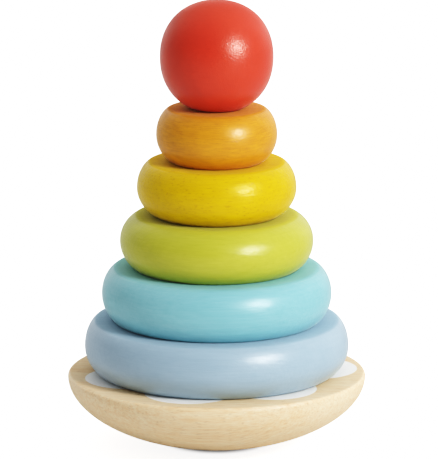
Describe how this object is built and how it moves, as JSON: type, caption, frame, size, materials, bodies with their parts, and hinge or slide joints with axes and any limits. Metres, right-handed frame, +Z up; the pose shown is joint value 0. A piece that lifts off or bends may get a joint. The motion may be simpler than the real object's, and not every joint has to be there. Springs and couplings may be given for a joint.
{
  "type": "stacking tower toy",
  "caption": "Wooden stacking toy: painted rings of falling size and a ball lift off a peg that stands on a round rocker base.",
  "frame": {"origin": "on the floor, under the middle of the base's foot, on the peg's axis", "axes": "+Z up along the peg; the tower is turned about +Z, and the picture's camera looks along +Y"},
  "size_m": [0.12, 0.12, 0.1807],
  "materials": {
    "natural_wood": "clear satin, white painted petals on the flat top",
    "peg_wood": "bare, sanded",
    "pale_blue_paint": "satin paint",
    "turquoise_paint": "satin paint",
    "lime_paint": "satin paint",
    "yellow_paint": "satin paint",
    "orange_paint": "satin paint",
    "red_paint": "satin paint"
  },
  "bodies": {
    "base": {"rocker_base": "natural_wood", "centre_peg": "peg_wood"},
    "blue": {"blue_ring": "pale_blue_paint"},
    "turquoise": {"turquoise_ring": "turquoise_paint"},
    "green": {"green_ring": "lime_paint"},
    "yellow": {"yellow_ring": "yellow_paint"},
    "orange": {"orange_ring": "orange_paint"},
    "ball": {"red_ball": "red_paint"}
  },
  "joints": [
    {"name": "blue_lift", "type": "slide", "parent": "base", "child": "blue", "axis": [0, 0, 1], "range_m": [0, 0.133]},
    {"name": "turquoise_lift", "type": "slide", "parent": "blue", "child": "turquoise", "axis": [0, 0, 1], "range_m": [0, 0.112]},
    {"name": "green_lift", "type": "slide", "parent": "turquoise", "child": "green", "axis": [0, 0, 1], "range_m": [0, 0.09]},
    {"name": "yellow_lift", "type": "slide", "parent": "green", "child": "yellow", "axis": [0, 0, 1], "range_m": [0, 0.068]},
    {"name": "orange_lift", "type": "slide", "parent": "yellow", "child": "orange", "axis": [0, 0, 1], "range_m": [0, 0.047]},
    {"name": "ball_lift", "type": "slide", "parent": "orange", "child": "ball", "axis": [0, 0, 1], "range_m": [0, 0.026]}
  ]
}
